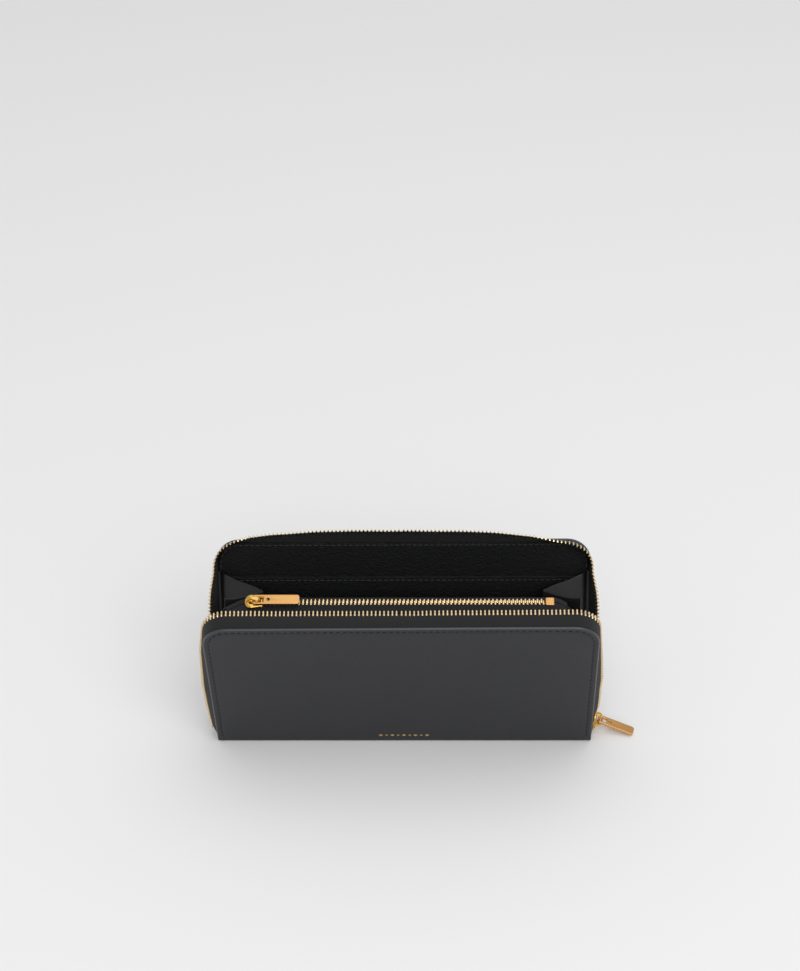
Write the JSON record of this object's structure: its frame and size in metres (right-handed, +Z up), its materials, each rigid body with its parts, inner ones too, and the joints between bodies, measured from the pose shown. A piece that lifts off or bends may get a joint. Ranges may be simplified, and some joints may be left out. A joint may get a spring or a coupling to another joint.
{
  "type": "zip around wallet",
  "caption": "Long wallet standing open on its spine: two rounded covers with a metal zip round three edges, folded gussets, a middle divider with a zipped coin pocket, sliders and pulls.",
  "frame": {"origin": "centre of the spine's underside, on the surface the wallet stands on", "axes": "+X along the wallet's width towards the side where the main slider parks, +Y to the back cover, +Z up; stored open by 16 degrees on each side"},
  "size_m": [0.2139, 0.074, 0.0965],
  "materials": {
    "smooth_leather": "smooth matte charcoal calf leather",
    "grained_leather": "black pebbled lining leather",
    "stiff_board": "grey-brown bonded board, hidden",
    "zip_tape": "black woven herringbone tape",
    "polished_gold": "polished pale gold plating",
    "satin_gold": "brushed satin gold plating",
    "gold_foil": "hot-pressed gold foil"
  },
  "bodies": {
    "spine": {"divider_back_tape": "zip_tape", "divider_back_teeth": "polished_gold", "divider_back_wall": "grained_leather", "divider_bottom_stop": "polished_gold", "divider_end_left": "grained_leather", "divider_end_right": "grained_leather", "divider_foot": "grained_leather", "divider_front_tape": "zip_tape", "divider_front_teeth": "polished_gold", "divider_front_wall": "grained_leather", "divider_top_stops": "polished_gold", "gusset_back_left": "smooth_leather", "gusset_back_right": "smooth_leather", "gusset_front_left": "smooth_leather", "gusset_front_right": "smooth_leather", "main_zip_bottom_stop": "polished_gold", "main_zip_tail_tapes": "zip_tape", "main_zip_tail_teeth": "polished_gold", "spine_board": "stiff_board", "spine_leather": "smooth_leather", "spine_lining": "grained_leather"},
    "front_cover": {"front_board": "stiff_board", "front_card_slot_lower": "grained_leather", "front_card_slot_middle": "grained_leather", "front_card_slot_upper": "grained_leather", "front_foil_mark": "gold_foil", "front_leather": "smooth_leather", "front_lining": "grained_leather", "front_slip_pocket": "grained_leather", "front_top_stop": "polished_gold", "front_zip_tape": "zip_tape", "front_zip_teeth": "polished_gold"},
    "back_cover": {"back_board": "stiff_board", "back_card_slot_lower": "grained_leather", "back_card_slot_middle": "grained_leather", "back_card_slot_upper": "grained_leather", "back_leather": "smooth_leather", "back_lining": "grained_leather", "back_slip_pocket": "grained_leather", "back_top_stop": "polished_gold", "back_zip_tape": "zip_tape", "back_zip_teeth": "polished_gold"},
    "main_slider": {"main_slider_body": "polished_gold", "main_slider_bridge": "polished_gold"},
    "main_pull": {"main_pull_tab": "satin_gold"},
    "pocket_slider": {"pocket_slider_body": "polished_gold", "pocket_slider_bridge": "polished_gold"},
    "pocket_pull": {"pocket_pull_tab": "satin_gold"}
  },
  "joints": [
    {"name": "front_cover_fold", "type": "hinge", "parent": "spine", "child": "front_cover", "pos_m": [0, -0.011, 0], "axis": [1, 0, 0], "range_deg": [-16, 14], "deforming": ["front_zip_tape", "front_zip_teeth", "gusset_front_left", "gusset_front_right"]},
    {"name": "back_cover_fold", "type": "hinge", "parent": "spine", "child": "back_cover", "pos_m": [0, 0.011, 0], "axis": [-1, 0, 0], "range_deg": [-16, 14], "deforming": ["back_zip_tape", "back_zip_teeth", "gusset_back_left", "gusset_back_right"]},
    {"name": "main_slider_run", "type": "slide", "parent": "spine", "child": "main_slider", "axis": [0, 0, 1], "range_m": [0, 0.066], "deforming": ["main_zip_tail_tapes", "main_zip_tail_teeth"]},
    {"name": "main_pull_swing", "type": "hinge", "parent": "main_slider", "child": "main_pull", "pos_m": [0.0985, -0.00051, 0.0059], "axis": [-0.2588, -0.9659, 0], "range_deg": [-70, 95]},
    {"name": "pocket_slider_run", "type": "slide", "parent": "spine", "child": "pocket_slider", "axis": [1, 0, 0], "range_m": [0, 0.136], "deforming": ["divider_front_teeth", "divider_back_teeth", "divider_front_tape", "divider_back_tape"]},
    {"name": "pocket_pull_swing", "type": "hinge", "parent": "pocket_slider", "child": "pocket_pull", "pos_m": [-0.0722, -0.00129, 0.08135], "axis": [0, -0.8988, -0.4384], "range_deg": [0, 160]}
  ]
}
